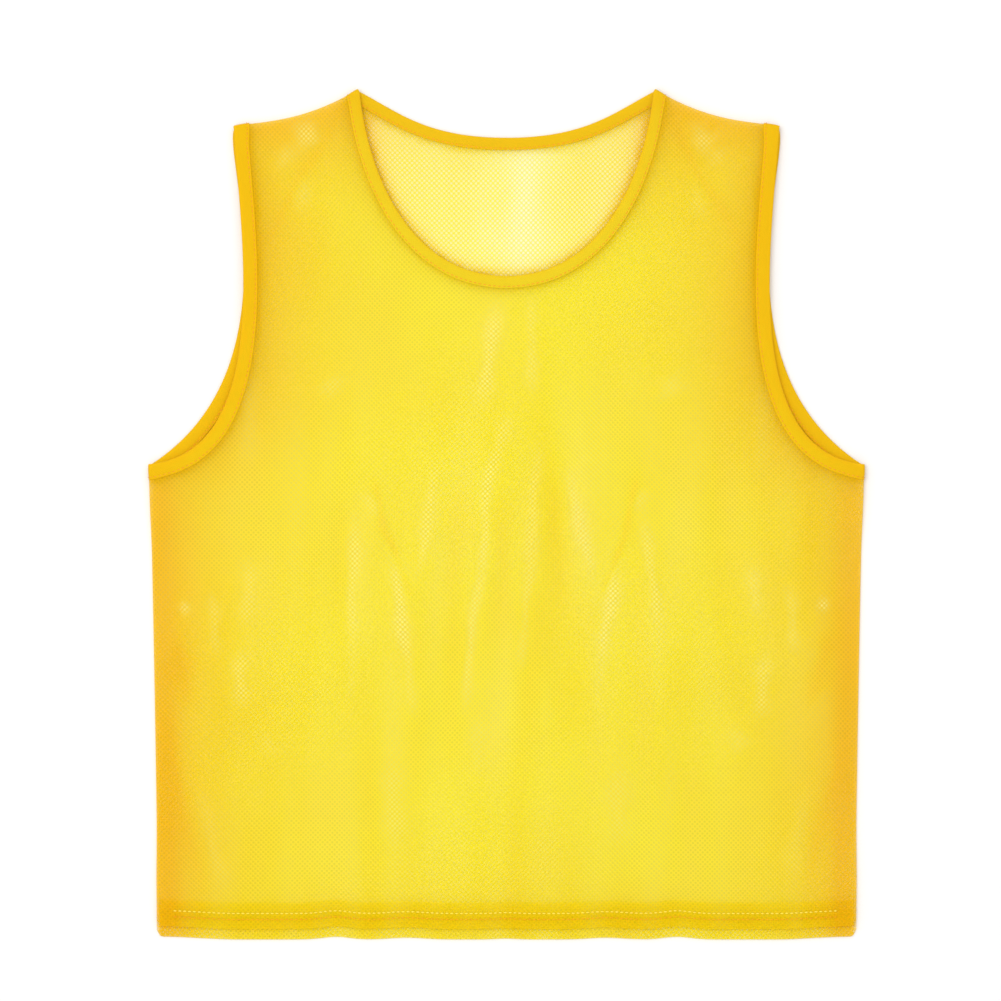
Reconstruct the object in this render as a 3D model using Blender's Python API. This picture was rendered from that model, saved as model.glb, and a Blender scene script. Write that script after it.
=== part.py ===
# Mesh training bib laid flat on its back, with the neck towards +Y
# Metres, +Z up, origin in the middle of the footprint, on the surface that the back panel lies on
# Two panels of open mesh are sewn at the sides and shoulders, and folded strips bind the neck and armholes
import math

import bmesh
import bpy
import numpy as np
from mathutils import Vector
from mathutils.geometry import delaunay_2d_cdt

# Whole garment, with y counted up from the back hem until the model is placed
LENGTH = 0.650              # hem to the top of the neck points
FRONT_HEM_RISE = 0.008      # the front hem ends this far above the back hem
WALL = 0.001                # cloth
GAP = 0.0003                # between pieces that touch

# Corners of the right half, on the lines where the cloth starts to roll over at the seams
NECK_POINT = (0.1120, 0.6470)
SHOULDER_END = (0.2078, 0.6185)
UNDERARM = (0.2706, 0.3632)
HEM_CORNER = (0.2646, 0.0)

# Edges of the right half: a cubic curve each, from one corner to the next through two handles
FRONT_NECK = ((0.0, 0.5066), (0.0671, 0.5066), (0.1038, 0.5719), NECK_POINT)
BACK_NECK = ((0.0, 0.6120), (0.0613, 0.6120), (0.0828, 0.6319), NECK_POINT)
SHOULDER = (NECK_POINT, (0.1560, 0.6207), (0.1869, 0.6226), SHOULDER_END)
FRONT_ARMHOLE = (SHOULDER_END, (0.2039, 0.5464), (0.1747, 0.3746), UNDERARM)
BACK_ARMHOLE = (SHOULDER_END, (0.2167, 0.5995), (0.1578, 0.4363), UNDERARM)
SIDE = (UNDERARM, (0.2682, 0.2466), (0.2655, 0.1204), HEM_CORNER)

# Binding: a strip folded over the raw edge of a panel, with a leg on each face of it
NECK_BINDING = 0.0095       # width that shows
ARMHOLE_BINDING = 0.0105
BINDING_WALL = 0.001
BINDING_ROUND = 0.0006      # its folded edge is eased by this much
RAW_INSET = BINDING_WALL + GAP
CLEAR_OF_BINDING = 0.0007   # the panel stays level to this far past a binding
CORNER_TURN = 0.014         # a binding's across direction turns to the seam over this length

# Hem: the panel's own cloth turned up inside
HEM_DEPTH = 0.021
HEM_FOLD = 0.0007           # radius of the turn, at the middle of the wall

# Levels of the middle of the cloth over the surface it lies on
BACK_LEVEL = WALL / 2
BACK_BOUND = WALL / 2 + GAP + BINDING_WALL
SEAM_ROLL = 0.0021          # radius at which bound edges roll over from front to back
FRONT_BOUND = BACK_BOUND + 2 * SEAM_ROLL
FRONT_NECK_LOW = 0.0033     # the front neckline sinks to this, just over the back panel
FRONT_NECK_SINK = (0.530, 0.602)
FRONT_HEM_LEVEL = 0.0046
FRONT_SIDE_LEVEL = 0.0030
FRONT_LEVEL = 0.0042        # where it lies without folds
FRONT_LOWEST = BACK_LEVEL + WALL + 0.0004
UNDERARM_RISE = (0.290, 0.345)
HEM_SINK = (0.034, 0.095)
SIDE_FROM = 0.041           # both panels share their stations up the side from here, so their rolls meet
SIDE_ROWS = 13

# Mesh of the panels
FRONT_GRID = (0.0125, 0.028)
BACK_GRID = (0.025, 0.036)
FRONT_EASE = 0.050          # folds die out this far from an edge
BACK_EASE = 0.022
GRID_MARGIN = 0.55          # the grid keeps this share of a step from the edges
SHOULDER_ROWS = 9
MERGE = 1e-7
SHARP_ANGLE = 50            # degrees
ROLL_STEPS = (30, 60)       # degrees, before the last one at the seam
TURN_STEPS = (45, 90, 135, 180)
BINDING_TURN_STEPS = (30, 60, 90, 120, 150)

# Largest folds of the front: soft ridges, and troughs where the height is negative
FOLD_COLUMNS = ("x_top", "y_top", "x_foot", "y_foot", "half_width", "height")
FRONT_FOLDS = (
    (0.003, 0.405, -0.030, 0.160, 0.013, 0.0034),
    (0.024, 0.350, 0.022, 0.215, 0.012, 0.0020),
    (-0.013, 0.490, -0.012, 0.425, 0.014, 0.0022),
    (0.021, 0.490, 0.022, 0.425, 0.012, 0.0014),
    (-0.056, 0.362, -0.074, 0.165, 0.013, 0.0026),
    (0.051, 0.362, 0.070, 0.165, 0.013, 0.0024),
    (-0.101, 0.345, -0.119, 0.185, 0.012, 0.0021),
    (0.101, 0.345, 0.117, 0.185, 0.012, 0.0022),
    (-0.197, 0.300, -0.200, 0.165, 0.014, 0.0022),
    (0.196, 0.300, 0.200, 0.165, 0.014, 0.0022),
    (-0.228, 0.275, -0.222, 0.215, 0.011, 0.0016),
    (0.228, 0.275, 0.222, 0.215, 0.011, 0.0016),
    (-0.128, 0.470, -0.132, 0.400, 0.022, 0.0014),
    (0.127, 0.470, 0.130, 0.400, 0.022, 0.0014),
    (-0.183, 0.175, -0.176, 0.120, 0.014, 0.0013),
    (0.173, 0.175, 0.170, 0.115, 0.014, 0.0013),
    (-0.087, 0.150, -0.084, 0.070, 0.016, 0.0012),
    (0.087, 0.155, 0.084, 0.070, 0.016, 0.0012),
    (-0.091, 0.340, -0.080, 0.285, 0.010, -0.0016),
    (0.091, 0.340, 0.080, 0.285, 0.010, -0.0016),
    (-0.004, 0.300, -0.006, 0.130, 0.011, -0.0016),
    (-0.040, 0.330, -0.050, 0.150, 0.012, -0.0013),
    (0.040, 0.340, 0.045, 0.150, 0.012, -0.0013),
    (-0.160, 0.330, -0.155, 0.130, 0.022, -0.0012),
    (0.158, 0.330, 0.152, 0.130, 0.022, -0.0012),
)

# Colours in linear light, with the roughness of knitted polyester
CLOTH_ROUGHNESS = 0.75
COLOURS = {
    "front_panel": (0.90, 0.72, 0.035, 1.0),
    "back_panel": (0.92, 0.80, 0.16, 1.0),
    "neck_binding": (0.88, 0.58, 0.020, 1.0),
    "armhole_binding_left": (0.88, 0.50, 0.015, 1.0),
    "armhole_binding_right": (0.88, 0.50, 0.015, 1.0),
}


def smooth_step(value, low, high):
    share = np.clip((value - low) / (high - low), 0.0, 1.0)
    return share * share * (3.0 - 2.0 * share)


def cubic_points(curve, count):
    # Points at even spacing along a cubic curve, and its unit tangents there
    p0, p1, p2, p3 = (np.array(point) for point in curve)

    def at(t):
        s = 1.0 - t
        return s**3 * p0 + 3 * s * s * t * p1 + 3 * s * t * t * p2 + t**3 * p3

    def slope(t):
        s = 1.0 - t
        return s * s * (p1 - p0) + 2 * s * t * (p2 - p1) + t * t * (p3 - p2)

    t = np.linspace(0.0, 1.0, 400)
    steps = np.linalg.norm(np.diff(at(t[:, None]), axis=0), axis=1)
    run = np.concatenate(([0.0], np.cumsum(steps)))
    even = np.interp(np.linspace(0.0, run[-1], count), run, t)[:, None]
    tangents = slope(even)
    return at(even), tangents / np.linalg.norm(tangents, axis=1)[:, None]


def end_tangent(curve, last=False):
    tangents = cubic_points(curve, 3)[1]
    return tangents[-1] if last else tangents[0]


def corner_across(axis, front, back):
    # Across a binding where it rolls over: along the seam, as long as the two bindings need on average
    stretch = (1.0 / float(axis @ front) + 1.0 / float(axis @ back)) / 2
    return axis * stretch


def turned(tangent, side):
    # The tangent turned a quarter, to the left for side +1 and to the right for side -1
    return np.array((-side * tangent[1], side * tangent[0]))


def bound_edge(curve, count, side, first=None, last=None):
    # Stations along a bound edge: point, and the direction across the binding, into the cloth
    points, tangents = cubic_points(curve, count)
    run = np.concatenate(([0.0], np.cumsum(np.linalg.norm(np.diff(points, axis=0), axis=1))))
    stations = []
    for point, tangent, length in zip(points, tangents, run):
        across = turned(tangent, side)
        if first is not None:
            share = 1.0 - smooth_step(length, 0.0, CORNER_TURN)
            across = across * (1.0 - share) + first * share
        if last is not None:
            share = 1.0 - smooth_step(run[-1] - length, 0.0, CORNER_TURN)
            across = across * (1.0 - share) + last * share
        stations.append((point, across))
    return stations


# Directions at the three corners where a binding rolls over from the front to the back
NECK_AXIS = end_tangent(SHOULDER)
ARM_AXIS = -end_tangent(SHOULDER, last=True)
SIDE_AXIS = end_tangent(SIDE)
NECK_ACROSS = corner_across(
    NECK_AXIS, turned(end_tangent(FRONT_NECK, last=True), -1), turned(end_tangent(BACK_NECK, last=True), -1)
)
ARM_ACROSS = corner_across(
    ARM_AXIS, turned(end_tangent(FRONT_ARMHOLE), -1), turned(end_tangent(BACK_ARMHOLE), -1)
)
SIDE_ACROSS = corner_across(
    SIDE_AXIS,
    turned(end_tangent(FRONT_ARMHOLE, last=True), -1),
    turned(end_tangent(BACK_ARMHOLE, last=True), -1),
)

# Stations of the right half's bound edges, from the centre outwards and from the shoulder down
FRONT_NECK_EDGE = bound_edge(FRONT_NECK, 19, -1, last=NECK_ACROSS)
BACK_NECK_EDGE = bound_edge(BACK_NECK, 13, -1, last=NECK_ACROSS)
FRONT_ARMHOLE_EDGE = bound_edge(FRONT_ARMHOLE, 25, -1, first=ARM_ACROSS, last=SIDE_ACROSS)
BACK_ARMHOLE_EDGE = bound_edge(BACK_ARMHOLE, 25, -1, first=ARM_ACROSS, last=SIDE_ACROSS)


def front_neck_level(y):
    return FRONT_NECK_LOW + (FRONT_BOUND - FRONT_NECK_LOW) * smooth_step(y, *FRONT_NECK_SINK)


def front_armhole_level(y):
    return FRONT_BOUND


def back_bound_level(y):
    return BACK_BOUND


def front_side_level(y):
    hem = (FRONT_HEM_LEVEL - FRONT_SIDE_LEVEL) * (1.0 - smooth_step(y, *HEM_SINK))
    arm = (FRONT_BOUND - FRONT_SIDE_LEVEL) * smooth_step(y, *UNDERARM_RISE)
    return FRONT_SIDE_LEVEL + hem + arm


def back_side_level(y):
    return BACK_LEVEL + (BACK_BOUND - BACK_LEVEL) * smooth_step(y, *UNDERARM_RISE)


def fold_height(x, y):
    height = 0.0
    for row in FRONT_FOLDS:
        fold = dict(zip(FOLD_COLUMNS, row))
        top = np.array((fold["x_top"], fold["y_top"]))
        foot = np.array((fold["x_foot"], fold["y_foot"]))
        length = np.linalg.norm(foot - top)
        along = (foot - top) / length
        away = np.array((x, y)) - top
        share = float(away @ along) / length
        aside = float(away[0] * along[1] - away[1] * along[0])
        fade = 0.35 * (1.0 if length > 0.1 else 1.4)
        ends = smooth_step(share, -0.12, fade) * (1.0 - smooth_step(share, 1.0 - fade, 1.12))
        height += fold["height"] * float(ends) * math.exp(-((aside / fold["half_width"]) ** 2))
    return height


def distance_to(point, lines):
    # Shortest distance from a point to any of the polylines
    best = math.inf
    for line in lines:
        start, end = line[:-1], line[1:]
        along = end - start
        share = ((point - start) * along).sum(axis=1) / np.maximum((along * along).sum(axis=1), 1e-12)
        near = start + along * np.clip(share, 0.0, 1.0)[:, None]
        best = min(best, float(np.linalg.norm(point - near, axis=1).min()))
    return best


def inside(point, loop):
    x, y = point
    crossings = 0
    for (x1, y1), (x2, y2) in zip(loop, np.roll(loop, -1, axis=0)):
        if (y1 > y) != (y2 > y) and x < x1 + (y - y1) * (x2 - x1) / (y2 - y1):
            crossings += 1
    return crossings % 2 == 1


def inset(edge, level, depth):
    # The edge's stations moved into the cloth, each with the level of its station
    return [(*(point + across * depth), float(level(point[1]))) for point, across in edge]


class Panel:
    # The middle surface of one panel: entries of (x, y, level), and the chains of them along each edge
    def __init__(self, neck, armhole, levels, hem_edge, grid):
        self.levels = levels
        self.hem_y = hem_edge + HEM_FOLD + WALL / 2
        self.hem_top = self.hem_y + HEM_DEPTH + CLEAR_OF_BINDING
        self.grid = grid
        self.entries = []
        self.add_outline(neck, armhole)
        self.add_inner_lines(neck, armhole)

    def add(self, entries):
        first = len(self.entries)
        self.entries += entries
        return list(range(first, len(self.entries)))

    def add_mirrored(self, indices):
        # The same chain on the left half, where points on the centre line serve both halves
        chain = []
        for index in indices:
            x, y, level = self.entries[index]
            chain += [index] if x == 0.0 else self.add([(-x, y, level)])
        return chain

    def add_outline(self, neck, armhole):
        hem = self.add(self.hem_entries())
        side = self.add(self.side_entries())
        raw_armhole = self.add(inset(armhole, self.levels["armhole"], RAW_INSET)[::-1])
        shoulder = self.add(self.shoulder_entries())
        raw_neck = self.add(inset(neck, self.levels["neck"], RAW_INSET)[::-1])
        right = hem + side + raw_armhole + shoulder + raw_neck
        left = self.add_mirrored(right)
        partner = dict(zip(right, left))
        self.outline = right + left[-2:0:-1]
        self.hem = [partner[i] for i in reversed(hem[1:])] + hem
        side_roll = [hem[-1], *side, raw_armhole[0]]
        shoulder_roll = [raw_armhole[-1], *shoulder, raw_neck[0]]
        self.rolls = []
        for seam, chain in (("side", side_roll), ("shoulder", shoulder_roll)):
            self.rolls.append((seam, chain, -1.0))
            self.rolls.append((seam, [partner[i] for i in chain], 1.0))
        self.free_edges = [side, shoulder]

    def add_inner_lines(self, neck, armhole):
        # Lines where the level strips at the hem and bindings end, and the free cloth starts
        hem_line = self.add([(x, self.hem_top, self.levels["hem"]) for x in self.columns()])
        depth = ARMHOLE_BINDING + CLEAR_OF_BINDING
        arm_line = self.add(inset(armhole, self.levels["armhole"], depth)[::-1][1:-1])
        depth = NECK_BINDING + CLEAR_OF_BINDING
        neck_line = self.add(inset(neck, self.levels["neck"], depth)[::-1][1:])
        side, shoulder = self.free_edges
        self.free_edges = [hem_line, side, arm_line, shoulder, neck_line]
        for line in (hem_line, arm_line, neck_line):
            self.add_mirrored(line)

    def columns(self):
        return [self.grid[0] * k for k in range(int(HEM_CORNER[0] / self.grid[0] - 0.5) + 1)]

    def hem_entries(self):
        corner = (side_x(self.hem_y), self.hem_y, self.levels["side"](self.hem_y))
        return [(x, self.hem_y, self.levels["hem"]) for x in self.columns()] + [corner]

    def side_entries(self):
        low_corner = np.array(UNDERARM) + SIDE_ACROSS * (ARMHOLE_BINDING + CLEAR_OF_BINDING)
        heights = [self.hem_top, *np.linspace(SIDE_FROM, low_corner[1], SIDE_ROWS)[:-1]]
        entries = [(side_x(y), float(y), float(self.levels["side"](y))) for y in heights]
        return entries + [(*low_corner, self.levels["armhole"](low_corner[1]))]

    def shoulder_entries(self):
        arm_corner = np.array(SHOULDER_END) + ARM_ACROSS * (ARMHOLE_BINDING + CLEAR_OF_BINDING)
        neck_corner = np.array(NECK_POINT) + NECK_ACROSS * (NECK_BINDING + CLEAR_OF_BINDING)
        between = cubic_points(SHOULDER, SHOULDER_ROWS)[0][1:-1][::-1]
        level = self.levels["armhole"](SHOULDER_END[1])
        return [(*point, level) for point in (arm_corner, *between, neck_corner)]

    def fill(self, height, ease):
        # Grid points of the free cloth, at the wanted height and eased to the levels at its edges
        lines = [np.array([self.entries[i][:2] for i in chain]) for chain in self.free_edges]
        edge = np.vstack(lines)
        edge_levels = np.array([self.entries[i][2] for chain in self.free_edges for i in chain])
        loop = np.vstack([(0.0, self.hem_top), *lines[1:]])
        step_x, step_y = self.grid
        reach = int(UNDERARM[0] / step_x)
        for y in np.arange(self.hem_top + step_y, NECK_POINT[1], step_y):
            for x in (step_x * k for k in range(-reach, reach + 1)):
                folded = np.array((abs(x), y))
                away = distance_to(folded, lines)
                if away < GRID_MARGIN * step_x or not inside((abs(x) + 1e-6, y), loop):
                    continue
                weights = np.linalg.norm(edge - folded, axis=1) ** -4
                edge_level = float((weights * edge_levels).sum() / weights.sum())
                share = float(smooth_step(away, 0.0, ease))
                self.add([(x, float(y), edge_level * (1.0 - share) + height(x, y) * share)])

    def roll_rows(self, seam, chain, side, partner_level, upwards):
        # The seam's edge rolls a quarter turn towards the other panel
        line = np.array([self.entries[i][:2] for i in chain])
        tangents = np.gradient(line, axis=0)
        tangents /= np.linalg.norm(tangents, axis=1)[:, None]
        rows = [[] for _ in range(len(ROLL_STEPS) + 1)]
        for index, point, tangent in zip(chain, line, tangents):
            level = self.entries[index][2]
            other = float(partner_level(seam, point[1]))
            radius = abs(other - level) / 2
            last = math.degrees(math.acos(GAP / 2 / (radius - WALL / 2)))
            out = turned(tangent, side)
            for row, degrees in zip(rows, (*ROLL_STEPS, last)):
                angle = math.radians(degrees)
                rise = radius * math.cos(angle) * (-1.0 if upwards else 1.0)
                row.append((*(point + out * radius * math.sin(angle)), (other + level) / 2 + rise))
        return rows

    def hem_rows(self, upwards):
        # The cloth turns over at the hem and lies back along the inside of the panel
        sign = 1.0 if upwards else -1.0
        turn = [
            (self.hem_y - HEM_FOLD * math.sin(angle), sign * HEM_FOLD * (1.0 - math.cos(angle)))
            for angle in (math.radians(degrees) for degrees in TURN_STEPS)
        ]
        turn.append((self.hem_y + HEM_DEPTH - WALL, sign * 2 * HEM_FOLD))
        xs = [self.entries[i][0] for i in self.hem]
        return [[(x, y, self.levels["hem"] + lift) for x in xs] for y, lift in turn]


def side_x(y):
    line = cubic_points(SIDE, 60)[0][::-1]
    return float(np.interp(y, line[:, 1], line[:, 0]))


def place(x, y, z):
    return Vector((float(x), float(y) - LENGTH / 2, float(z)))


def add_strip(mesh, base, rows):
    previous = base
    for row in rows:
        current = [mesh.verts.new(place(*spot)) for spot in row]
        for k in range(len(current) - 1):
            mesh.faces.new((previous[k], previous[k + 1], current[k + 1], current[k]))
        previous = current


def new_object(name, mesh):
    data = bpy.data.meshes.new(name)
    bmesh.ops.recalc_face_normals(mesh, faces=mesh.faces)
    mesh.to_mesh(data)
    mesh.free()
    data.shade_smooth()
    data.set_sharp_from_angle(angle=math.radians(SHARP_ANGLE))
    material = bpy.data.materials.new(name)
    material.use_nodes = True
    shader = material.node_tree.nodes["Principled BSDF"]
    shader.inputs["Base Color"].default_value = COLOURS[name]
    shader.inputs["Roughness"].default_value = CLOTH_ROUGHNESS
    shader.inputs["Metallic"].default_value = 0.0
    data.materials.append(material)
    body = bpy.data.objects.new(name, data)
    bpy.context.scene.collection.objects.link(body)
    return body


def build_panel(name, panel, partner_level, upwards):
    # The flat cut at its levels, its rolled edges and its hem, and then the wall's thickness
    outline = [panel.outline]
    flat = [Vector((x, y)) for x, y, _ in panel.entries]
    coords, _, triangles, origins = delaunay_2d_cdt(flat, [], outline, 1, MERGE)[:4]
    mesh = bmesh.new()
    made = []
    verts = {}
    for spot, origin in zip(coords, origins):
        made.append(mesh.verts.new(place(spot.x, spot.y, panel.entries[origin[0]][2])))
        verts.update((index, made[-1]) for index in origin)
    for triangle in triangles:
        mesh.faces.new([made[i] for i in triangle])
    add_strip(mesh, [verts[i] for i in panel.hem], panel.hem_rows(upwards))
    for seam, chain, side in panel.rolls:
        rows = panel.roll_rows(seam, chain, side, partner_level, upwards)
        add_strip(mesh, [verts[i] for i in chain], rows)
    body = new_object(name, mesh)
    wall = body.modifiers.new("wall", "SOLIDIFY")
    wall.thickness = WALL
    wall.offset = 0.0
    wall.use_even_offset = True
    wall.use_quality_normals = True


def binding_section(width):
    # Across and up from the folded edge: two legs with room for the panel between them
    outer = WALL / 2 + GAP + BINDING_WALL
    inner = WALL / 2 + GAP
    return (
        (width, outer),
        (BINDING_ROUND, outer),
        (0.0, outer - BINDING_ROUND),
        (0.0, BINDING_ROUND - outer),
        (BINDING_ROUND, -outer),
        (width, -outer),
        (width, -inner),
        (BINDING_WALL, -inner),
        (BINDING_WALL, inner),
        (width, inner),
    )


def edge_frames(edge, level, up):
    return [
        (Vector((*point, float(level(point[1])))), Vector((*across, 0.0)), Vector((0.0, 0.0, up)))
        for point, across in edge
    ]


def turn_frames(corner, across, outward):
    # The binding rolls over the seam, from the front's level to the back's
    frames = []
    for degrees in BINDING_TURN_STEPS:
        angle = math.radians(degrees)
        reach = outward * SEAM_ROLL * math.sin(angle)
        height = (FRONT_BOUND + BACK_BOUND) / 2 + SEAM_ROLL * math.cos(angle)
        point = Vector((corner[0] + reach[0], corner[1] + reach[1], height))
        up = Vector((*(outward * math.sin(angle)), math.cos(angle)))
        frames.append((point, Vector((*across, 0.0)), up))
    return frames


def mirror_frames(frames):
    flip = Vector((-1.0, 1.0, 1.0))
    return [tuple(vector * flip for vector in frame) for frame in frames]


def build_binding(name, frames, width):
    # The section goes round the whole edge as a closed ring
    mesh = bmesh.new()
    section = binding_section(width)
    rings = [
        [mesh.verts.new(place(*(point + across * a + up * b))) for a, b in section]
        for point, across, up in frames
    ]
    for ring, following in zip(rings, rings[1:] + rings[:1]):
        for k in range(len(section)):
            n = (k + 1) % len(section)
            mesh.faces.new((ring[k], ring[n], following[n], following[k]))
    new_object(name, mesh)


def neck_frames():
    front = edge_frames(FRONT_NECK_EDGE, front_neck_level, 1.0)
    turn = turn_frames(NECK_POINT, NECK_ACROSS, turned(NECK_AXIS, 1.0))
    back = edge_frames(BACK_NECK_EDGE, back_bound_level, -1.0)[::-1]
    right = front + turn + back
    return right + mirror_frames(right)[-2:0:-1]


def armhole_frames():
    front = edge_frames(FRONT_ARMHOLE_EDGE, front_armhole_level, 1.0)
    under = turn_frames(UNDERARM, SIDE_ACROSS, turned(SIDE_AXIS, 1.0))
    back = edge_frames(BACK_ARMHOLE_EDGE, back_bound_level, -1.0)[::-1]
    over = turn_frames(SHOULDER_END, ARM_ACROSS, turned(ARM_AXIS, -1.0))[::-1]
    return front + under + back + over


def front_height(x, y):
    return max(FRONT_LEVEL + fold_height(x, y), FRONT_LOWEST)


def back_height(x, y):
    return BACK_LEVEL


def front_seam_level(seam, y):
    return FRONT_BOUND if seam == "shoulder" else front_side_level(y)


def back_seam_level(seam, y):
    return BACK_BOUND if seam == "shoulder" else back_side_level(y)


FRONT_LEVELS = {
    "neck": front_neck_level,
    "armhole": front_armhole_level,
    "side": front_side_level,
    "hem": FRONT_HEM_LEVEL,
}
BACK_LEVELS = {
    "neck": back_bound_level,
    "armhole": back_bound_level,
    "side": back_side_level,
    "hem": BACK_LEVEL,
}


def main():
    for old in list(bpy.data.objects):
        bpy.data.objects.remove(old)

    front = Panel(FRONT_NECK_EDGE, FRONT_ARMHOLE_EDGE, FRONT_LEVELS, FRONT_HEM_RISE, FRONT_GRID)
    front.fill(front_height, FRONT_EASE)
    build_panel("front_panel", front, back_seam_level, upwards=False)

    back = Panel(BACK_NECK_EDGE, BACK_ARMHOLE_EDGE, BACK_LEVELS, 0.0, BACK_GRID)
    back.fill(back_height, BACK_EASE)
    build_panel("back_panel", back, front_seam_level, upwards=True)

    build_binding("neck_binding", neck_frames(), NECK_BINDING)
    armhole = armhole_frames()
    build_binding("armhole_binding_right", armhole, ARMHOLE_BINDING)
    build_binding("armhole_binding_left", mirror_frames(armhole), ARMHOLE_BINDING)


main()
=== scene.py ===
import math

import bmesh
import bpy
import numpy as np
from mathutils import Matrix, Vector, noise


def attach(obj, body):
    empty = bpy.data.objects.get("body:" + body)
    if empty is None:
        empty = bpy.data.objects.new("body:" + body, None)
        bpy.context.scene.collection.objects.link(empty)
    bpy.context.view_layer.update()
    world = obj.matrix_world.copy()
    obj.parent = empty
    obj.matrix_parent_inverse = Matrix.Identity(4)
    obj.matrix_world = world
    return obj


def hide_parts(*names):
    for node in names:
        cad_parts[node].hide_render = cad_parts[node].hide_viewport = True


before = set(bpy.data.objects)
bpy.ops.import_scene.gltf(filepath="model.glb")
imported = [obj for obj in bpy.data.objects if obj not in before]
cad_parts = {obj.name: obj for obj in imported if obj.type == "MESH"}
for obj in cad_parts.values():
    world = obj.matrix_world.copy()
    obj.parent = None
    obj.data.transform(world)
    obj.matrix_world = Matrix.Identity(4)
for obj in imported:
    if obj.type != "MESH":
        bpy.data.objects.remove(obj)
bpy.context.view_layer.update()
print("frame loaded:", sorted(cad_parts))

# The cut of the bib in metres: x from the centre line, y up from the back hem, right half
cut = {
    "length": 0.650,
    "neckPoint": (0.1120, 0.6470),
    "shoulderEnd": (0.2078, 0.6185),
    "underarm": (0.2706, 0.3632),
    "hemCorner": (0.2646, 0.0),
    "frontNeck": ((0.0, 0.5066), (0.0671, 0.5066), (0.1038, 0.5719)),
    "backNeck": ((0.0, 0.6120), (0.0613, 0.6120), (0.0828, 0.6319)),
    "shoulder": ((0.1560, 0.6207), (0.1869, 0.6226)),
    "frontArmhole": ((0.2039, 0.5464), (0.1747, 0.3746)),
    "backArmhole": ((0.2167, 0.5995), (0.1578, 0.4363)),
    "side": ((0.2682, 0.2466), (0.2655, 0.1204)),
    "step": 0.004,
}

# Levels of the middle of the cloth above the surface that it lies on
levels = {
    "back": 0.0005,
    "backBound": 0.0018,
    "frontBound": 0.0060,
    "frontNeckLow": 0.0033,
    "frontNeckSink": (0.530, 0.602),
    "frontHem": 0.0046,
    "frontSide": 0.0030,
    "front": 0.0042,
    "frontLowest": 0.0018,
    "underarmRise": (0.290, 0.345),
    "hemSink": (0.034, 0.095),
}

binding = {"neckWidth": 0.0095, "armholeWidth": 0.0110, "rawInset": 0.0012, "clear": 0.0007, "cornerTurn": 0.014}

hem = {"depth": 0.021, "fold": 0.0007, "frontRise": 0.008, "rows": (0.0068, 0.0114), "threads": (0.00026, 0.00050)}


def smooth(value, low, high):
    share = np.clip((value - low) / (high - low), 0.0, 1.0)
    return share * share * (3.0 - 2.0 * share)


def along(curve, step, count=None):
    # evenly spaced points of a cubic curve, with unit tangents
    p0, p1, p2, p3 = (np.array(p, float) for p in curve)
    t = np.linspace(0.0, 1.0, 600)[:, None]
    point = lambda t: (1 - t) ** 3 * p0 + 3 * (1 - t) ** 2 * t * p1 + 3 * (1 - t) * t**2 * p2 + t**3 * p3
    slope = lambda t: (1 - t) ** 2 * (p1 - p0) + 2 * (1 - t) * t * (p2 - p1) + t**2 * (p3 - p2)
    run = np.concatenate(([0.0], np.cumsum(np.linalg.norm(np.diff(point(t), axis=0), axis=1))))
    count = count or int(run[-1] / step) + 2
    even = np.interp(np.linspace(0.0, run[-1], count), run, t[:, 0])[:, None]
    tangent = slope(even)
    return point(even), tangent / np.linalg.norm(tangent, axis=1)[:, None]


def rightOf(tangent):
    return np.stack((tangent[..., 1], -tangent[..., 0]), axis=-1)


curves = {
    "frontNeck": (*cut["frontNeck"], cut["neckPoint"]),
    "backNeck": (*cut["backNeck"], cut["neckPoint"]),
    "shoulder": (cut["neckPoint"], *cut["shoulder"], cut["shoulderEnd"]),
    "frontArmhole": (cut["shoulderEnd"], *cut["frontArmhole"], cut["underarm"]),
    "backArmhole": (cut["shoulderEnd"], *cut["backArmhole"], cut["underarm"]),
    "side": (cut["underarm"], *cut["side"], cut["hemCorner"]),
}
lines = {name: along(curve, cut["step"]) for name, curve in curves.items()}


def cornerAcross(axis, front, back):
    # along the seam, stretched so that both bindings keep their width as they roll over it
    return axis * (1 / (axis @ front) + 1 / (axis @ back)) / 2


neckAxis = lines["shoulder"][1][0]
armAxis = -lines["shoulder"][1][-1]
sideAxis = lines["side"][1][0]
corners = {
    "neck": cornerAcross(neckAxis, rightOf(lines["frontNeck"][1][-1]), rightOf(lines["backNeck"][1][-1])),
    "arm": cornerAcross(armAxis, rightOf(lines["frontArmhole"][1][0]), rightOf(lines["backArmhole"][1][0])),
    "side": cornerAcross(sideAxis, rightOf(lines["frontArmhole"][1][-1]), rightOf(lines["backArmhole"][1][-1])),
}


def boundEdge(name, step, first=None, last=None):
    # stations of a bound edge: points, and the direction across the binding into the cloth
    points, tangents = along(curves[name], step)
    run = np.concatenate(([0.0], np.cumsum(np.linalg.norm(np.diff(points, axis=0), axis=1))))
    across = rightOf(tangents)
    for corner, distance in ((first, run), (last, run[-1] - run)):
        if corner is not None:
            share = (1.0 - smooth(distance, 0.0, binding["cornerTurn"]))[:, None]
            across = across * (1.0 - share) + corner * share
    return points, across


def neckLevel(y):
    sink = smooth(y, *levels["frontNeckSink"])
    return levels["frontNeckLow"] + (levels["frontBound"] - levels["frontNeckLow"]) * sink


def frontSideLevel(y):
    hemPart = (levels["frontHem"] - levels["frontSide"]) * (1.0 - smooth(y, *levels["hemSink"]))
    armPart = (levels["frontBound"] - levels["frontSide"]) * smooth(y, *levels["underarmRise"])
    return levels["frontSide"] + hemPart + armPart


def backSideLevel(y):
    return levels["back"] + (levels["backBound"] - levels["back"]) * smooth(y, *levels["underarmRise"])


def distanceTo(points, line):
    start, step = line[:-1], np.diff(line, axis=0)
    best = np.full(len(points), 1e9)
    for a, d in zip(start, step):
        share = np.clip(((points - a) @ d) / max(d @ d, 1e-12), 0.0, 1.0)
        best = np.minimum(best, np.linalg.norm(points - a - share[:, None] * d, axis=1))
    return best


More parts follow.
